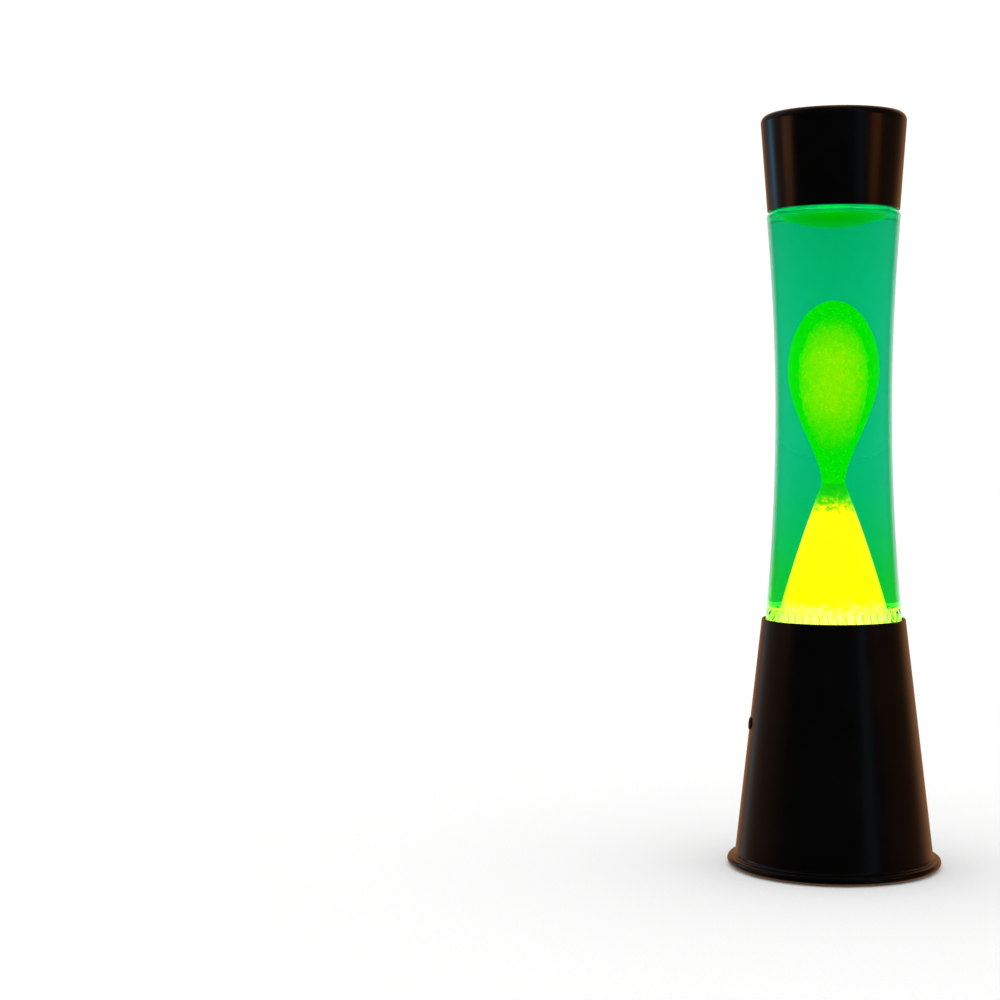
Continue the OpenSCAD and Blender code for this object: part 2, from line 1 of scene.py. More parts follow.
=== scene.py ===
# %% [markdown]
# # A lava lamp, lit
#
# The lamp is a spun black base, a waisted bottle of green liquid with yellow wax in it, and a
# spun black cap. The metal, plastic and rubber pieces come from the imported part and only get
# their finishes here. The bottle's contents are made again as smooth lathe work, because light
# goes through them and every flat would show.

# %% Load the part
from math import asin, atan2, cos, degrees, hypot, pi, radians, sin, sqrt, tan

import bmesh
import bpy
from mathutils import Matrix, Vector, noise


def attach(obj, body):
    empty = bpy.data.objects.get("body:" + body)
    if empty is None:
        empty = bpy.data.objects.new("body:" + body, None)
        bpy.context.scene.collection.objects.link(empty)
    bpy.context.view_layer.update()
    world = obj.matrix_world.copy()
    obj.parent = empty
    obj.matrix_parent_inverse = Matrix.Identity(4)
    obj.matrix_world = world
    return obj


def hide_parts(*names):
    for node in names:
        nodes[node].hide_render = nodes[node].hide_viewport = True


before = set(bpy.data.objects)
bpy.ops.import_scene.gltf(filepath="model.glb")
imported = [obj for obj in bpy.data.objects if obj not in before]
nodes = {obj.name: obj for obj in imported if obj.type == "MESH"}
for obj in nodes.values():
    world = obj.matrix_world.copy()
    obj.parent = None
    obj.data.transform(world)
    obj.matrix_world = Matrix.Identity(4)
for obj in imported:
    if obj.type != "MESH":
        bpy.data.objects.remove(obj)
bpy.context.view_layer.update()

# %% [markdown]
# ## Camera
#
# A long lens a little above the middle of the lamp looks very slightly down on it, so the rims
# show as shallow curves. The lamp stands right of the middle of the frame. A moved camera, not
# a lens shift, puts it there, so that the same camera also serves every other view.

# %% Camera
def mm(*values):
    """Millimetres to metres, one number or several."""
    return values[0] / 1000 if len(values) == 1 else tuple(v / 1000 for v in values)


SENSOR, FOCAL = 36, 75.13                     # mm
YAW, PITCH, ROLL = radians(-0.0707), radians(-2.2158), radians(-0.3507)
CAMERA_AT = (-174.2, -1098.1, 236.9)          # mm from the middle of the lamp's foot

forward = Vector((sin(YAW) * cos(PITCH), cos(YAW) * cos(PITCH), sin(PITCH)))
level = Vector((cos(YAW), -sin(YAW), 0))
upright = level.cross(forward)
right = cos(ROLL) * level + sin(ROLL) * upright
up = -sin(ROLL) * level + cos(ROLL) * upright

camera_data = bpy.data.cameras.new("camera")
camera_data.sensor_width = SENSOR
camera_data.lens = FOCAL
camera_data.clip_start = 0.05
camera = bpy.data.objects.new("camera", camera_data)
camera.matrix_world = Matrix((right, up, -forward)).transposed().to_4x4()
camera.matrix_world.translation = mm(*CAMERA_AT)
bpy.context.scene.collection.objects.link(camera)
bpy.context.scene.camera = camera
bpy.context.scene.view_settings.view_transform = "Standard"
print("camera looks", [round(x, 3) for x in forward], "from", CAMERA_AT, "mm")

# %% [markdown]
# ## Light
#
# A bright white room lights the floor, the glass and the liquid evenly from all round. Black
# enamel would go flat grey in it, so its mirror-like reflections see a second room: dark, with
# faint warm walls at the sides. A studio gets the same with black cards in front. Both rooms
# are one world shader, split by the Light Path node, which is simpler than a dozen lamps and
# has no lamp edges to hide.

# %% Node helper and colour helper
def add(tree, kind, settings=None, inputs=None):
    """Adds a node, sets its properties, and sets or links its inputs by name or number."""
    node = tree.nodes.new(kind)
    for key, value in (settings or {}).items():
        setattr(node, key, value)
    for key, value in (inputs or {}).items():
        if isinstance(value, bpy.types.NodeSocket):
            tree.links.new(value, node.inputs[key])
        else:
            node.inputs[key].default_value = value
    return node


def lin(colour):
    """sRGB hex to the linear colour that shaders work in."""
    parts = [int(colour[i:i + 2], 16) / 255 for i in (1, 3, 5)]
    return tuple(c / 12.92 if c <= 0.04045 else ((c + 0.055) / 1.055) ** 2.4 for c in parts) + (1,)


def set_ramp(ramp, stops):
    """Gives a colour ramp its stops: (place, linear colour)."""
    band = ramp.color_ramp
    while len(band.elements) > 1:
        band.elements.remove(band.elements[-1])
    band.elements[0].position = stops[0][0]
    band.elements[0].color = (*stops[0][1][:3], 1)
    for place, colour in stops[1:]:
        band.elements.new(place).color = (*colour[:3], 1)


print("white is", lin("#ffffff"), "and mid grey", [round(c, 3) for c in lin("#808080")])

# %% World: a white room, and a dark room for glossy reflections
world = bpy.data.worlds.new("studio")
bpy.context.scene.world = world
world.use_nodes = True
tree = world.node_tree
tree.nodes.clear()

FRONT = degrees(atan2(CAMERA_AT[1], CAMERA_AT[0]))    # bearing of the camera from the lamp
room = add(tree, "ShaderNodeTexCoord")
turned = add(tree, "ShaderNodeVectorRotate", {"rotation_type": "Z_AXIS"},
             {"Vector": room.outputs["Generated"], "Angle": radians(-FRONT)})
split = add(tree, "ShaderNodeSeparateXYZ", inputs={0: turned.outputs[0]})
bearing = add(tree, "ShaderNodeMath", {"operation": "ARCTAN2"},
              {0: split.outputs["Y"], 1: split.outputs["X"]})
place = add(tree, "ShaderNodeMapRange", inputs={"Value": bearing.outputs[0], "From Min": -pi,
                                                "From Max": pi})
BLACK = (0.0, 0.0, 0.0)
WARM_BACK = (0.6, 0.27, 0.12)
DUSK = (0.05, 0.02, 0.008)
EMBER = (0.11, 0.04, 0.015)
# Bearings are in degrees from the camera's side of the lamp, minus to the camera's left.
high_walls = [(-180, WARM_BACK), (-150, WARM_BACK), (-142, DUSK), (-134, (0.1, 0.14, 0.18)),
              (-112, (0.12, 0.17, 0.22)), (-98, EMBER), (-80, EMBER), (-60, BLACK),
              (36, BLACK), (46, (0.1, 0.16, 0.2)), (56, BLACK), (80, BLACK), (105, DUSK),
              (134, DUSK), (148, WARM_BACK), (180, WARM_BACK)]
foot_walls = [(-180, WARM_BACK), (-152, WARM_BACK), (-142, (0.3, 0.16, 0.1)),
              (-134, (0.42, 0.42, 0.45)), (-126, (0.24, 0.17, 0.14)), (-114, (0.2, 0.09, 0.05)),
              (-97, (0.14, 0.07, 0.04)), (-78, (0.08, 0.04, 0.02)), (-60, BLACK), (34, BLACK),
              (46, (0.07, 0.11, 0.14)), (56, BLACK), (76, (0.1, 0.03, 0.01)),
              (120, (0.12, 0.05, 0.02)), (142, WARM_BACK), (180, WARM_BACK)]
rooms = []
for walls in (foot_walls, high_walls):
    room_ramp = add(tree, "ShaderNodeValToRGB", inputs={0: place.outputs[0]})
    set_ramp(room_ramp, [((angle + 180) / 360, colour) for angle, colour in walls])
    rooms.append(room_ramp.outputs[0])
# The sides of the lamp mirror what is level or lower, the rounded rims what is higher.
raised = add(tree, "ShaderNodeMapRange", inputs={"Value": split.outputs["Z"],
                                                 "From Min": 0.03, "From Max": 0.1})
dark_room = add(tree, "ShaderNodeMix", {"data_type": "RGBA"},
                {0: raised.outputs[0], 6: rooms[0], 7: rooms[1]})
# Sharp reflections come from the glass alone. It mirrors the white room at its edges, and
# almost nothing elsewhere.
GLASS_DARK, GLASS_BRIGHT = 134, 150                   # degrees off the camera's side
path = add(tree, "ShaderNodeLightPath")
flank_on = add(tree, "ShaderNodeMath", {"operation": "ABSOLUTE"}, {0: bearing.outputs[0]})
behind = add(tree, "ShaderNodeMapRange", inputs={"Value": flank_on.outputs[0],
             "From Min": radians(GLASS_DARK), "From Max": radians(GLASS_BRIGHT)})
glass_room = add(tree, "ShaderNodeMix", {"data_type": "RGBA"},
                 {0: behind.outputs[0], 6: (0.0, 0.01, 0.02, 1), 7: (0.85, 1, 0.95, 1)})
glassy = add(tree, "ShaderNodeMix", {"data_type": "RGBA"},
             {0: path.outputs["Is Singular Ray"], 6: dark_room.outputs[2],
              7: glass_room.outputs[2]})
mirrored = add(tree, "ShaderNodeMath", {"operation": "MULTIPLY"},
               {0: path.outputs["Is Glossy Ray"], 1: path.outputs["Is Reflection Ray"]})
white_room = add(tree, "ShaderNodeBackground", inputs={"Color": (1, 1, 1, 1), "Strength": 1.05})
gloss_room = add(tree, "ShaderNodeBackground", inputs={"Color": glassy.outputs[2]})
chosen = add(tree, "ShaderNodeMixShader", inputs={0: mirrored.outputs[0], 1: white_room.outputs[0],
                                                  2: gloss_room.outputs[0]})
add(tree, "ShaderNodeOutputWorld", inputs={"Surface": chosen.outputs[0]})
stops = len(foot_walls + high_walls)
print("dark room has", stops, "stops; the camera stands at", round(FRONT, 1), "degrees")

# %% [markdown]
# ## Cards beside the cap
#
# Three lit cards stand beside the lamp at the height of its cap, so that only the cap mirrors
# them: a blue one and a warm one on the left, a warm one on the right. They show in the enamel
# alone. The camera doesn't see them, the floor gets no light from them, and to the sharp
# reflections of the glass they are dark.

# %% Three cards
CARD_AWAY, CARD_LOW, CARD_HIGH = 1200, 330, 520       # mm
# name, bearing and width in degrees, linear colour
cards = [("blue_card", -118, 9, (0.45, 1.2, 1.75)), ("warm_card_left", -79, 18, (1.1, 0.45, 0.2)),
         ("warm_card_right", 70, 17, (1.2, 0.33, 0.06))]
for name, middle, width, colour in cards:
    half = CARD_AWAY * tan(radians(width / 2))
    bm = bmesh.new()
    away = Vector((cos(radians(FRONT + middle)), sin(radians(FRONT + middle)), 0))
    across = Vector((-away.y, away.x, 0))
    corners = [away * CARD_AWAY + across * side + Vector((0, 0, z))
               for side, z in ((-half, CARD_LOW), (half, CARD_LOW), (half, CARD_HIGH),
                               (-half, CARD_HIGH))]
    bm.faces.new([bm.verts.new(mm(*corner)) for corner in corners])
    mesh = bpy.data.meshes.new(name)
    bm.to_mesh(mesh)
    bm.free()
    look = bpy.data.materials.new(name)
    look.use_nodes = True
    tree = look.node_tree
    tree.nodes.clear()
    seen_by = add(tree, "ShaderNodeLightPath")
    dull = add(tree, "ShaderNodeMath", {"operation": "SUBTRACT"},
               {0: 1.0, 1: seen_by.outputs["Is Singular Ray"]})
    glow = add(tree, "ShaderNodeEmission", inputs={"Color": (*colour, 1),
                                                   "Strength": dull.outputs[0]})
    add(tree, "ShaderNodeOutputMaterial", inputs={"Surface": glow.outputs[0]})
    mesh.materials.append(look)
    card = bpy.data.objects.new(name, mesh)
    bpy.context.scene.collection.objects.link(card)
    card.visible_camera = card.visible_diffuse = card.visible_shadow = False
    card.visible_transmission = False
print("cards:", ", ".join(card[0] for card in cards))

# %% [markdown]
# ## Lathe work
#
# Bottle, liquid and wax are all bodies of revolution. Each starts as a half section, a line of
# points from the axis round to the axis, and bmesh's spin operator turns it once round. Merging
# the doubles afterwards closes the poles, and recalculating the normals points every face out.

# %% Lathe helper
ON_AXIS = 1e-6                            # mm, a point this near the axis lies on it


def lathe(name, section, body, material, steps=128, stand_for=()):
    """Turns a half section [(r, z) in mm] once round the upright axis into a smooth piece."""
    bm = bmesh.new()
    ring = [bm.verts.new((mm(r), 0, mm(z))) for r, z in section]
    edges = [bm.edges.new(pair) for pair in zip(ring, ring[1:])]
    if section[0][0] > ON_AXIS:           # such a section is a closed loop, clear of the axis
        edges.append(bm.edges.new((ring[-1], ring[0])))
    bmesh.ops.spin(bm, geom=ring + edges, cent=(0, 0, 0), axis=(0, 0, 1), dvec=(0, 0, 0),
                   angle=2 * pi, steps=steps, use_merge=True, use_duplicate=False)
    bmesh.ops.remove_doubles(bm, verts=bm.verts, dist=1e-7)
    bmesh.ops.dissolve_degenerate(bm, edges=bm.edges, dist=1e-7)
    bmesh.ops.recalc_face_normals(bm, faces=bm.faces)
    return finish_piece(name, bm, body, material, stand_for)


def finish_piece(name, bm, body, material, stand_for=(), crease=35):
    """Makes the object of a bmesh, smooth but for edges sharper than crease degrees."""
    mesh = bpy.data.meshes.new(name)
    for face in bm.faces:
        face.smooth = True
    bm.to_mesh(mesh)
    open_edges = sum(not edge.is_manifold for edge in bm.edges)
    bm.free()
    mesh.set_sharp_from_angle(angle=radians(crease))
    mesh.materials.append(material)
    piece = bpy.data.objects.new(name, mesh)
    bpy.context.scene.collection.objects.link(piece)
    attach(piece, body)
    if stand_for:
        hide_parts(*stand_for)
    print(f"{name}: {len(mesh.polygons)} faces, {open_edges} open edges")
    return piece


def arc(r, z, radius, start, end, count):
    """Points of an arc about (r, z), from start to end degrees, 0 being outwards, 90 up."""
    angles = [radians(start + (end - start) * k / count) for k in range(count + 1)]
    return [(r + radius * cos(a), z + radius * sin(a)) for a in angles]


print("lathe ready")

# %% [markdown]
# ## Materials
#
# Every material is a small node tree round one Principled shader. Its patterns are laid in the
# piece's own coordinates and sized in millimetres, so they stay on the piece when it moves.

# %% Material helpers
def new_material(name):
    """A material with an empty tree, its Principled shader and its output."""
    material = bpy.data.materials.new(name)
    material.use_nodes = True
    tree = material.node_tree
    tree.nodes.clear()
    shader = add(tree, "ShaderNodeBsdfPrincipled")
    add(tree, "ShaderNodeOutputMaterial", inputs={"Surface": shader.outputs[0]})
    where = add(tree, "ShaderNodeTexCoord").outputs["Object"]
    return material, tree, shader, where


def per_mm(size):
    """The scale that makes one unit of a pattern as long as size millimetres."""
    return 1000 / size


def feed(tree, shader, **links):
    """Sets or links a shader's inputs; an underscore stands for a space."""
    for key, value in links.items():
        socket = shader.inputs[key.replace("_", " ")]
        if isinstance(value, bpy.types.NodeSocket):
            tree.links.new(value, socket)
        else:
            socket.default_value = value


def fill(tree, volume):
    """Fills a material's inside with a volume shader."""
    ends = [n for n in tree.nodes if n.type == "OUTPUT_MATERIAL"]
    tree.links.new(volume.outputs[0], ends[0].inputs["Volume"])


print("one unit of a 2 mm pattern takes a scale of", per_mm(2))

# %% [markdown]
# ## Black enamel
#
# The base and the cap are spun aluminium, sprayed with satin black enamel and stoved. Enamel
# is a dielectric, so it keeps its white highlight and its IOR of about 1.5. What the eye reads
# is the fine orange peel of the spray, 2 to 3 mm across and a few micrometres deep, and a very
# slight change of gloss, with faint rings where the spinning tool left its marks below it.

# %% Enamel
enamel, tree, shader, where = new_material("stoved_black_enamel")
peel = add(tree, "ShaderNodeTexNoise", inputs={"Vector": where, "Scale": per_mm(2.5),
                                               "Detail": 2.0, "Roughness": 0.4})
spun = add(tree, "ShaderNodeMapping", inputs={"Vector": where, "Scale": (0.4, 0.4, per_mm(0.9))})
rings = add(tree, "ShaderNodeTexNoise", inputs={"Vector": spun.outputs[0], "Scale": 1.0,
                                                "Detail": 3.0})
cloud = add(tree, "ShaderNodeTexNoise", inputs={"Vector": where, "Scale": per_mm(30),
                                                "Detail": 4.0})
gloss = add(tree, "ShaderNodeMapRange", inputs={"Value": cloud.outputs["Fac"], "From Min": 0.3,
                                                "From Max": 0.7, "To Min": 0.2, "To Max": 0.27})
tint = add(tree, "ShaderNodeValToRGB", inputs={0: cloud.outputs["Fac"]})
set_ramp(tint, [(0.3, lin("#010101")), (0.7, lin("#030202"))])
height = add(tree, "ShaderNodeMath", {"operation": "ADD"},
             {0: peel.outputs["Fac"], 1: rings.outputs["Fac"]})
bump = add(tree, "ShaderNodeBump", inputs={"Height": height.outputs[0], "Strength": 0.5,
                                           "Distance": mm(0.006)})
feed(tree, shader, Base_Color=tint.outputs[0], Roughness=gloss.outputs[0],
     Normal=bump.outputs[0], IOR=1.5)
print("enamel: orange peel every 2.5 mm, 6 micrometres deep")

# %% [markdown]
# ## Bottle glass and the dyed liquid
#
# The bottle is clear blown soda glass, IOR 1.52, with a faint waviness from the mould. The
# liquid is dyed water, IOR 1.33. Its colour is a Volume Absorption, so it deepens with the
# length of the light's path, and the edges of the bottle come out lighter than its middle.
# The liquid reaches 0.12 mm into the glass: with an air gap between them, the glass would
# mirror at its edges, which wetted glass doesn't do.

# %% Glass and liquid
glass, tree, shader, where = new_material("blown_soda_glass")
swell = add(tree, "ShaderNodeTexNoise", inputs={"Vector": where, "Scale": per_mm(38),
                                                "Detail": 1.0})
wave = add(tree, "ShaderNodeBump", inputs={"Height": swell.outputs["Fac"], "Strength": 0.35,
                                           "Distance": mm(0.25)})
feed(tree, shader, Base_Color=(0.97, 1.0, 0.985, 1), Roughness=0.0, IOR=1.52,
     Transmission_Weight=1.0, Normal=wave.outputs[0])
wet_glass, tree, shader, where = new_material("wetted_soda_glass")
feed(tree, shader, Base_Color=(0.97, 1.0, 0.985, 1), Roughness=0.0, IOR=1.52,
     Transmission_Weight=1.0, Specular_Tint=(0.0, 0.0, 0.0, 1))

# Painted glow: an emission in the glass of the shoulder, under the cap, stands in for the light
# that came up through the wax.
painted_glow_glass, tree, shader, where = new_material("shoulder_glass_painted_glow")
shoulder_glow_noise = add(tree, "ShaderNodeTexNoise", inputs={"Vector": where, "Scale": per_mm(9),
                                               "Detail": 2.0})
shoulder_glow_ramp = add(tree, "ShaderNodeValToRGB", inputs={0: shoulder_glow_noise.outputs["Fac"]})
set_ramp(shoulder_glow_ramp, [(0.4, (0.0, 0.14, 0.02)), (0.6, (0.0, 0.22, 0.05))])
feed(tree, shader, Base_Color=(0.97, 1.0, 0.985, 1), Roughness=0.0, IOR=1.52,
     Transmission_Weight=1.0, Specular_Tint=(0.0, 0.0, 0.0, 1),
     Emission_Color=shoulder_glow_ramp.outputs[0], Emission_Strength=1.0)

liquid, tree, shader, where = new_material("dyed_water")
# Low down, painted light: the liquid's colour loses its blue there, standing in for the light
# that the mound throws back.
HUE_LOW, HUE_HIGH = 128, 348                  # mm
by_height = [(128, (0.25, 0.8, 0.03)), (150, (0.25, 0.78, 0.1)), (178, (0.25, 0.72, 0.3)),
             (205, (0.25, 0.68, 0.46)), (300, (0.25, 0.65, 0.45)), (348, (0.25, 0.6, 0.42))]
rise = add(tree, "ShaderNodeSeparateXYZ", inputs={0: where}).outputs["Z"]
share = add(tree, "ShaderNodeMapRange", inputs={"Value": rise, "From Min": mm(HUE_LOW),
                                                "From Max": mm(HUE_HIGH)})
hue = add(tree, "ShaderNodeValToRGB", inputs={0: share.outputs[0]})
set_ramp(hue, [((z - HUE_LOW) / (HUE_HIGH - HUE_LOW), colour) for z, colour in by_height])
feed(tree, shader, Base_Color=hue.outputs[0], Roughness=0.0, IOR=1.333,
     Transmission_Weight=1.0, Specular_Tint=(0.0, 0.0, 0.0, 1))
DYE = 90.0                                    # per metre, how fast the red dies out
dye = add(tree, "ShaderNodeVolumeAbsorption", inputs={"Color": (0.0, 0.937, 0.809, 1),
                                                      "Density": DYE})
fill(tree, dye)
print("liquid: red falls to a third in", round(1000 / DYE, 1), "mm, green goes through")

# %% [markdown]
# ## Bottle
#
# The bottle stands 7 mm deep in the base. One long arc of about 1165 mm gives its hollow waist,
# with a rounded heel, a rounded shoulder under the cap, and a neck with a ring and a lip. Its
# inside follows at the thickness of the wall. The numbers are the part's own, but for the arc's
# radius, which is rounded to a millimetre.

# %% Bottle section
BASE_H, SINK, LAMP_H, CAP_H = 131, 7, 395, 50
WAIST_R, SIDE_R, WALL, HEEL, SHOULDER, NECK_R = 30.35, 1165, 2.5, 5, 3.5, 13
PUSH_UP_R, PUSH_UP_DEEP = 180, 0.8        # hollow under the bottle: its radius and its depth
COVE = 7                                  # radius between the shoulder and the neck
INNER_SHOULDER = SHOULDER - 1.5
FLOOR = BASE_H - SINK                     # underside of the bottle
FLOOR_IN = FLOOR + 4
TOP = LAMP_H - CAP_H                      # top of the shoulder
ROOF = TOP - WALL                         # underside of the shoulder
WAIST_Z = (FLOOR + TOP) / 2 + 6
BORE_R, NECK_TOP, FILL_Z = 8.6, TOP + 27, TOP + 5


def side(z, inset=0.0):
    """Radius of the bottle at a height, taken in by an inset."""
    return WAIST_R + SIDE_R - sqrt((SIDE_R + inset) ** 2 - (z - WAIST_Z) ** 2)


def flank(inset, low, heel, high, shoulder, count=60):
    """Half section of the bottle's body from its floor to its shoulder."""
    z1, z2 = low + heel, high - shoulder
    lower = arc(side(z1, inset) - heel, z1, heel, -90, 0, 10)
    upper = arc(side(z2, inset) - shoulder, z2, shoulder, 0, 90, 10)
    between = [(side(z1 + (z2 - z1) * k / count, inset), z1 + (z2 - z1) * k / count)
               for k in range(1, count)]
    return lower + between + upper


outside = flank(0, FLOOR, HEEL, TOP, SHOULDER)
# the neck from the shoulder up: cove, ring, a small step, and the rounded lip
neck = (arc(NECK_R - 0.5 + COVE, TOP + COVE, COVE, -90, -180, 8)
        + arc(NECK_R - 0.5, TOP + 17.5, 1.6, -80, 80, 8)
        + [(NECK_R - 0.5, NECK_TOP - 5.2), (NECK_R + 0.2, NECK_TOP - 4.4)]
        + arc(NECK_R - 1.7, NECK_TOP - 1.9, 1.9, 0, 90, 6))
inside = flank(WALL, FLOOR_IN, HEEL - WALL, ROOF, INNER_SHOULDER)
push_up_drop = PUSH_UP_R - PUSH_UP_DEEP
push_up = arc(0, FLOOR - push_up_drop, PUSH_UP_R, 90, degrees(asin(push_up_drop / PUSH_UP_R)), 6)
bore = [(BORE_R, NECK_TOP), (BORE_R, ROOF)]
section = push_up + outside + neck + bore + inside[::-1] + [(0, FLOOR_IN)]
bottle = lathe("blown_bottle", section, "bottle", glass, stand_for=["glass_bottle"])
bottle.data.materials.append(wet_glass)
bottle.data.materials.append(painted_glow_glass)
DRY, WETTED, PAINTED_GLOW_SLOT = 0, 1, 2                # the bottle's material slots
for face in bottle.data.polygons:
    inward = face.normal.x * face.center.x + face.normal.y * face.center.y < 0
    at_liquid = mm(FLOOR_IN - 0.1) < face.center.z < mm(ROOF + 0.1)
    under_cap = mm(ROOF - 0.1) < face.center.z < mm(TOP + 0.5)
    face.material_index = DRY
    if at_liquid and (inward or abs(face.normal.z) > 0.9):
        face.material_index = WETTED
    # the glass of the shoulder under the cap gets the painted glow
    if under_cap and hypot(face.center.x, face.center.y) > mm(BORE_R):
        face.material_index = PAINTED_GLOW_SLOT
slots = [face.material_index for face in bottle.data.polygons]
print("bottle faces dry, wetted, lit:", [slots.count(k) for k in (DRY, WETTED, PAINTED_GLOW_SLOT)])

# %% Liquid
WETTING = 0.12                            # how far the liquid reaches into the glass
wet = flank(WALL - WETTING, FLOOR_IN - WETTING, HEEL - WALL, ROOF + WETTING, INNER_SHOULDER)
lathe("liquid", [(0, FLOOR_IN - WETTING)] + wet + [(0, ROOF + WETTING)], "bottle",
      liquid, stand_for=["liquid_fill"])

# %% [markdown]
# ## Wax
#
# Lit from below, the wax shines as if it glowed: its foot is almost white, the mound pure
# yellow, and the drop above it green-yellow where the light has had to come through the wax
# and the liquid. Real wax scatters light inside itself. Here the glow is an emission with
# a pattern, which is quick to render and keeps its look when the model is exported. Mound,
# pool and drop each have their colours by height, and specks of undissolved wax in some of
# them break the colours up.

# %% Wax shader
def wax_material(name, stops, low, high, speck=0.12, bits=0.8):
    """Glowing wax, its colour by height: stops are (mm, linear colour) between low and high.

    speck is how far noise moves the colours, as a share of the height; bits is how bright the
    specks are.
    """
    material, tree, shader, where = new_material(name)
    rise = add(tree, "ShaderNodeSeparateXYZ", inputs={0: where}).outputs["Z"]
    curd = add(tree, "ShaderNodeTexNoise", inputs={"Vector": where, "Scale": per_mm(2.2),
                                                   "Detail": 5.0, "Roughness": 0.65})
    stir = add(tree, "ShaderNodeMapRange", inputs={
        "Value": curd.outputs["Fac"], "From Min": 0.25, "From Max": 0.75,
        "To Min": -mm(speck * (high - low)), "To Max": mm(speck * (high - low))})
    stirred = add(tree, "ShaderNodeMath", {"operation": "ADD"}, {0: rise, 1: stir.outputs[0]})
    share = add(tree, "ShaderNodeMapRange", inputs={
        "Value": stirred.outputs[0], "From Min": mm(low), "From Max": mm(high)})
    glow = add(tree, "ShaderNodeValToRGB", inputs={0: share.outputs[0]})
    set_ramp(glow, [((z - low) / (high - low), colour) for z, colour in stops])
    grains = add(tree, "ShaderNodeTexVoronoi", inputs={"Vector": where, "Scale": per_mm(1.9)})
    dots = add(tree, "ShaderNodeMapRange", inputs={"Value": grains.outputs["Distance"],
               "From Min": 0.16, "From Max": 0.26, "To Min": bits, "To Max": 0.0})
    lit = add(tree, "ShaderNodeMix", {"data_type": "RGBA", "blend_type": "ADD"},
              {0: dots.outputs[0], 6: glow.outputs[0], 7: (0.9, 0.25, 0.1, 1)})
    feed(tree, shader, Base_Color=lin("#3a4a08"), Roughness=0.35, IOR=1.44,
         Emission_Color=lit.outputs[2], Emission_Strength=1.0)
    return material


print("wax shader ready")

# %% Mound
PINCH_Z, PINCH_R, MOUND_R = 200.5, 4.6, 22.5      # mm; the mound and the drop meet at the pinch
MOUND_TOP, TIP_ROUND = PINCH_Z + 1.7, 2.4         # the tip stands up in the drop's tail
BULGE = 0.04                                      # how much fuller than a cone the mound is
mound_wax = wax_material("melted_yellow_wax", [
    (126, (7, 1.6, 1.7)), (132, (8, 1.6, 1.5)), (136, (9, 1.6, 0.6)),
    (139, (12, 1.55, 0.0)), (160, (18, 1.5, 0.0)), (182, (26, 1.5, 0.0)),
    (188, (14, 1.4, 0.0)), (193, (2.0, 1.1, 0.0)), (197, (0.15, 0.9, 0.0)),
    (204, (0.03, 0.85, 0.0))], 126, 204, speck=0.09, bits=0.0)
count = 40
mound = [(0, FLOOR_IN)]
for k in range(count + 1):
    t = k / count
    widening = 1 - t + BULGE * sin(pi * (1 - t))
    mound.append((PINCH_R + (MOUND_R - PINCH_R) * widening,
                  FLOOR_IN + (MOUND_TOP - FLOOR_IN) * t))
tip = arc(PINCH_R - TIP_ROUND, MOUND_TOP, TIP_ROUND, 0, 90, 8)
mound += tip[1:] + [(0, MOUND_TOP + TIP_ROUND)]
mound_piece = lathe("wax_mound_melted", mound, "bottle", mound_wax, stand_for=["wax_mound"])
mound_piece.visible_diffuse = False       # its red would be seen on the floor as from a red lamp

# %% Pool under the shoulder
pool_wax = wax_material("cool_green_wax", [
    (334, (0.0, 0.62, 0.0)), (339, (0.0, 0.58, 0.0)), (343, (0.0, 0.72, 0.0))], 334, 352,
    speck=0.05, bits=0.1)
POOL_R, POOL_DEPTH, POOL_STEPS = 21.5, 6.6, 24
POOL_Z, IN_BORE = ROOF - 0.01, BORE_R - 0.1       # just clear of the glass
lens = [(POOL_R * (1 - k / POOL_STEPS),
         POOL_Z - POOL_DEPTH * (k / POOL_STEPS) * (2 - k / POOL_STEPS)) for k in range(POOL_STEPS)]
pool = [(0, FILL_Z), (IN_BORE, FILL_Z), (IN_BORE, POOL_Z)] + lens
lathe("wax_pool_cool", pool + [(0, ROOF - POOL_DEPTH)], "bottle", pool_wax,
      stand_for=["wax_pool"])

# %% [markdown]
# ## The drop
#
# The drop that is leaving the mound has a green skin round a yellow heart. The skin is thinner
# in wax than the heart and lets the room behind shine through. So it is two pieces: a skin of
# tinted, faintly glowing clear wax, and inside it the heart, whose outline is pushed about by
# noise. That gives the ragged yellow patch from every side, which no paint on one surface could.
# The tail has a round end. At rest it is hidden in the mound, so the two read as one body.

# %% Skin of the drop
BLOB_R, BLOB_TOP, WIDE_Z = 17.8, 298, 262          # mm
TAIL_Z, TAIL_END, TAIL_ROUND = PINCH_Z + 3.2, PINCH_Z - 4.2, 4.2


def drop_section(count=36):
    """Half section of the drop, from its round tail up to its crown."""
    tail = arc(PINCH_R - TAIL_ROUND, TAIL_END + TAIL_ROUND, TAIL_ROUND, -90, 0, 12)
    lower = [(PINCH_R + (BLOB_R - PINCH_R) * sin(pi / 2 * k / count) ** 1.5,
              TAIL_Z + (WIDE_Z - TAIL_Z) * k / count) for k in range(count + 1)]
    upper = [(BLOB_R * cos(pi / 2 * k / count),
              WIDE_Z + (BLOB_TOP - WIDE_Z) * sin(pi / 2 * k / count)) for k in range(1, count)]
    return [(0, TAIL_END)] + tail + lower + upper + [(0, BLOB_TOP)]


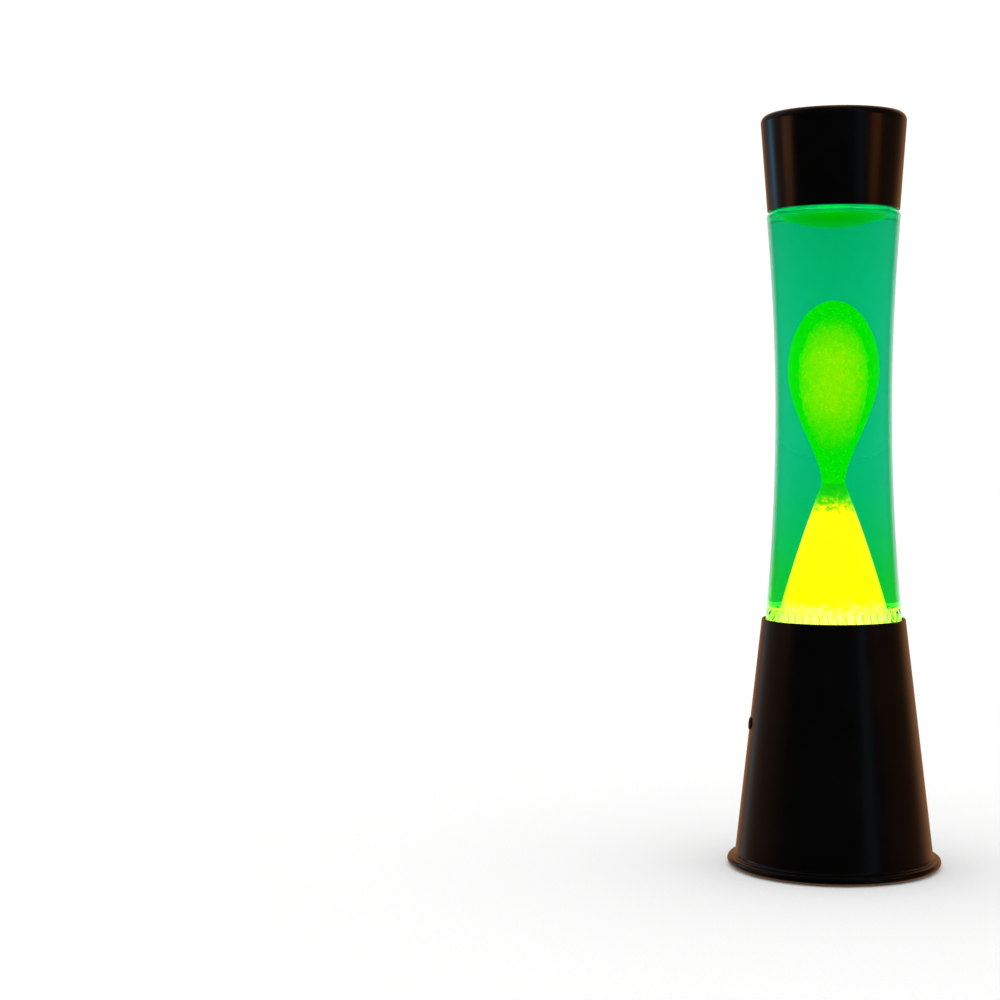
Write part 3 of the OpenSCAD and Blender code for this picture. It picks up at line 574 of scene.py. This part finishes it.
skin_wax, tree, shader, where = new_material("translucent_wax_skin")
specks = add(tree, "ShaderNodeTexVoronoi", inputs={"Vector": where, "Scale": per_mm(1.5)})
dots = add(tree, "ShaderNodeMapRange", inputs={"Value": specks.outputs["Distance"],
           "From Min": 0.08, "From Max": 0.34, "To Min": 1.0, "To Max": 0.0})
curd = add(tree, "ShaderNodeTexNoise", inputs={"Vector": where, "Scale": per_mm(3.0),
                                               "Detail": 5.0, "Roughness": 0.6})
sheen = add(tree, "ShaderNodeValToRGB", inputs={0: curd.outputs["Fac"]})
set_ramp(sheen, [(0.35, (0.0, 0.17, 0.0)), (0.65, (0.0, 0.25, 0.0))])
lit = add(tree, "ShaderNodeMix", {"data_type": "RGBA", "blend_type": "ADD"},
          {0: dots.outputs[0], 6: sheen.outputs[0], 7: (0.45, 0.16, 0.0, 1)})
feed(tree, shader, Base_Color=(0.9, 1.0, 0.0, 1), Roughness=0.0, IOR=1.02,
     Transmission_Weight=1.0, Specular_Tint=(0.0, 0.0, 0.0, 1),
     Emission_Color=lit.outputs[2], Emission_Strength=1.0)
# The deeper the heart lies in the skin, the greener it looks, so its edge fades.
fog = add(tree, "ShaderNodeVolumeAbsorption", inputs={"Color": (0.0, 1.0, 0.0, 1),
                                                      "Density": 260.0})
fill(tree, fog)
lathe("wax_drop_skin", drop_section(), "blob", skin_wax, stand_for=["wax_blob"])

# %% Heart of the drop
heart_wax = wax_material("warm_wax_heart", [
    (220, (0.3, 0.8, 0.0)), (232, (2.0, 0.82, 0.0)), (246, (6.0, 0.88, 0.0)),
    (268, (7.6, 0.9, 0.0)), (280, (5.5, 0.86, 0.0)), (288, (1.0, 0.8, 0.0))], 205, 292,
    speck=0.06, bits=0.35)
HEART_LOW, HEART_HIGH, HEART_R = 217, 289, 13.6    # mm
HEART_STEPS, HEART_FULL = 48, 30                   # full width is reached at the second step
SLIM = 0.62                                        # width of its foot, as a share of the full one
heart_outline = [(HEART_R * sin(pi * k / HEART_STEPS) ** 0.9
                  * (SLIM + (1 - SLIM) * min(1, k / HEART_FULL)),
                  HEART_LOW + (HEART_HIGH - HEART_LOW) * (1 - cos(pi * k / HEART_STEPS)) / 2)
                 for k in range(HEART_STEPS + 1)]
bm = bmesh.new()
ring = [bm.verts.new((mm(r), 0, mm(z))) for r, z in heart_outline]
edges = [bm.edges.new(pair) for pair in zip(ring, ring[1:])]
bmesh.ops.spin(bm, geom=ring + edges, cent=(0, 0, 0), axis=(0, 0, 1), dvec=(0, 0, 0),
               angle=2 * pi, steps=96, use_merge=True, use_duplicate=False)
bmesh.ops.remove_doubles(bm, verts=bm.verts, dist=1e-6)
bmesh.ops.subdivide_edges(bm, edges=bm.edges, cuts=1, use_grid_fill=True)
RAGGED, HEART_MIDDLE = 1.1, 250                    # mm
for vert in bm.verts:
    shift = noise.noise(vert.co * per_mm(1.1)) + 0.8 * noise.noise(vert.co * per_mm(3.2))
    away = Vector((vert.co.x, vert.co.y, 0.4 * (vert.co.z - mm(HEART_MIDDLE)))).normalized()
    vert.co += away * mm(RAGGED) * shift
bmesh.ops.recalc_face_normals(bm, faces=bm.faces)
finish_piece("wax_drop_heart", bm, "blob", heart_wax)

# %% [markdown]
# ## Metals, plastics and rubber
#
# The inner pieces are small hardware. Zinc plate is grey and slightly blotchy, pressed brass
# is yellow with brown tarnish, nickel plate is brighter. The holder is moulded thermoset with
# a dull skin, the seat ring and the bushing are black nylon with a spark-eroded grain, and the
# feet are black rubber with a bloom on it. One function makes each from its real numbers.

# %% Hardware finishes
def finish(name, dark, light, rough, patch, grain, depth, metal=0.0, ior=1.5):
    """Patchy colour and gloss over patch mm, with a grain of its own size and depth in mm."""
    material, tree, shader, where = new_material(name)
    blotch = add(tree, "ShaderNodeTexNoise", inputs={"Vector": where, "Scale": per_mm(patch),
                                                     "Detail": 4.0})
    colour = add(tree, "ShaderNodeValToRGB", inputs={0: blotch.outputs["Fac"]})
    set_ramp(colour, [(0.3, lin(dark)), (0.7, lin(light))])
    dull = add(tree, "ShaderNodeMapRange", inputs={
        "Value": blotch.outputs["Fac"], "From Min": 0.3, "From Max": 0.7,
        "To Min": rough - 0.06, "To Max": rough + 0.06})
    fine = add(tree, "ShaderNodeTexNoise", inputs={"Vector": where, "Scale": per_mm(grain),
                                                   "Detail": 3.0})
    bump = add(tree, "ShaderNodeBump", inputs={"Height": fine.outputs["Fac"], "Strength": 0.6,
                                               "Distance": mm(depth)})
    feed(tree, shader, Base_Color=colour.outputs[0], Roughness=dull.outputs[0], IOR=ior,
         Metallic=metal, Normal=bump.outputs[0])
    return material


finishes = {
    "black_paint": enamel,
    "black_plastic": finish("moulded_black_nylon", "#101010", "#1a1a1a", 0.5, 9, 0.5, 0.02),
    "white_plastic": finish("moulded_thermoset", "#d6cfbd", "#e4dfd0", 0.45, 8, 0.6, 0.015),
    "zinc_plate": finish("zinc_plated_steel", "#a4a6a6", "#c6c8c6", 0.36, 5, 0.4, 0.01, 1),
    "rubber": finish("moulded_black_rubber", "#141414", "#222120", 0.75, 6, 0.35, 0.03),
    "brass": finish("pressed_brass", "#b08a44", "#d9b868", 0.3, 4, 0.4, 0.008, 1),
    "nickel_brass": finish("nickel_plated_brass", "#b9b4a8", "#d8d4c8", 0.22, 5, 0.5, 0.006, 1),
    "tungsten": finish("drawn_tungsten", "#5c5a58", "#7c7a76", 0.4, 1, 0.2, 0.005, 1),
    "clear_glass": glass,
}
print("finishes:", ", ".join(m.name for m in finishes.values()))

# %% [markdown]
# ## Bulb
#
# The bulb is a small reflector: pressed glass, silvered inside its cone, with a frosted face
# that turns the filament's light into an even disc. It is lit, so the face glows warm white.

# %% Bulb glass
FACE_LOW, FACE_HIGH = 99.0, 102.0                  # mm, where the silver ends and the face begins
bulb_look, tree, shader, where = new_material("silvered_and_frosted_glass")
rise = add(tree, "ShaderNodeSeparateXYZ", inputs={0: where}).outputs["Z"]
face = add(tree, "ShaderNodeMapRange", inputs={"Value": rise, "From Min": mm(FACE_LOW),
                                               "From Max": mm(FACE_HIGH)})
frost = add(tree, "ShaderNodeTexNoise", inputs={"Vector": where, "Scale": per_mm(0.5),
                                                "Detail": 3.0})
frosted = add(tree, "ShaderNodeBump", inputs={"Height": frost.outputs["Fac"], "Strength": 0.5,
                                              "Distance": mm(0.02)})
warmth = add(tree, "ShaderNodeMix", {"data_type": "RGBA"},
             {0: face.outputs[0], 6: (0, 0, 0, 1), 7: (6.0, 4.6, 2.8, 1)})
silver = add(tree, "ShaderNodeMath", {"operation": "SUBTRACT"}, {0: 1.0, 1: face.outputs[0]})
matt = add(tree, "ShaderNodeMapRange", inputs={"Value": face.outputs[0], "To Min": 0.16,
                                               "To Max": 0.6})
feed(tree, shader, Base_Color=lin("#e6e4de"), Metallic=silver.outputs[0],
     Roughness=matt.outputs[0], Normal=frosted.outputs[0], Emission_Color=warmth.outputs[2],
     Emission_Strength=1.0)
finishes["bulb_glass"] = bulb_look
print("bulb: silver below", FACE_LOW, "mm, lit frosted face above", FACE_HIGH, "mm")

# %% [markdown]
# ## Coil
#
# A coil of tinned wire lies round the foot of the mound and carries the bulb's heat into the
# wax. It stands in the light, and a painted glow, an emission, makes it shine about as pale as
# the wax behind it.

# %% Coil finish and its painted glow
coil_wire_and_glow, tree, shader, where = new_material("tinned_wire_painted_glow")
blotch = add(tree, "ShaderNodeTexNoise", inputs={"Vector": where, "Scale": per_mm(2.5),
                                                 "Detail": 3.0})
# painted glow: the coil's emission colour, brighter in patches
shine = add(tree, "ShaderNodeValToRGB", inputs={0: blotch.outputs["Fac"]})
set_ramp(shine, [(0.35, (2.0, 1.15, 0.05)), (0.65, (3.4, 1.35, 0.4))])
feed(tree, shader, Base_Color=lin("#b8babc"), Metallic=1.0, Roughness=0.35,
     Emission_Color=shine.outputs[0], Emission_Strength=1.0)
print("coil finish:", coil_wire_and_glow.name)

# %% [markdown]
# ## Finishes on the part's own pieces
#
# Each piece of the part names its finish. The coil is the only one that gets a finish of its
# own, tinned wire with a painted glow, and the five pieces that were made again above keep theirs.

# %% Give every part node its finish
replaced = {"glass_bottle", "liquid_fill", "wax_mound", "wax_blob", "wax_pool"}
for name, node in nodes.items():
    if name not in replaced:
        slot_name = node.data.materials[0].name
        look = coil_wire_and_glow if name == "wire_coil" else finishes[slot_name]
        node.data.materials[0] = look
        print(name, "->", look.name)

# %% [markdown]
# ## Floor
#
# A pale floor fills the lower part of the frame. It is kept out of glossy reflections, so the
# enamel mirrors the dark room only.

# %% Floor
bm = bmesh.new()
FLOOR_HALF = 6                                     # metres
bmesh.ops.create_grid(bm, x_segments=1, y_segments=1, size=FLOOR_HALF)
mesh = bpy.data.meshes.new("floor")
bm.to_mesh(mesh)
bm.free()
paper, tree, shader, where = new_material("white_paper")
fibre = add(tree, "ShaderNodeTexNoise", inputs={"Vector": where, "Scale": per_mm(1.5)})
pale = add(tree, "ShaderNodeValToRGB", inputs={0: fibre.outputs["Fac"]})
set_ramp(pale, [(0.3, (0.95, 0.95, 0.95)), (0.7, (0.99, 0.99, 0.99))])
feed(tree, shader, Base_Color=pale.outputs[0], Roughness=0.9, Specular_IOR_Level=0.0)
mesh.materials.append(paper)
floor = bpy.data.objects.new("floor", mesh)
bpy.context.scene.collection.objects.link(floor)
floor.visible_glossy = False
print("floor:", 2 * FLOOR_HALF, "m across")
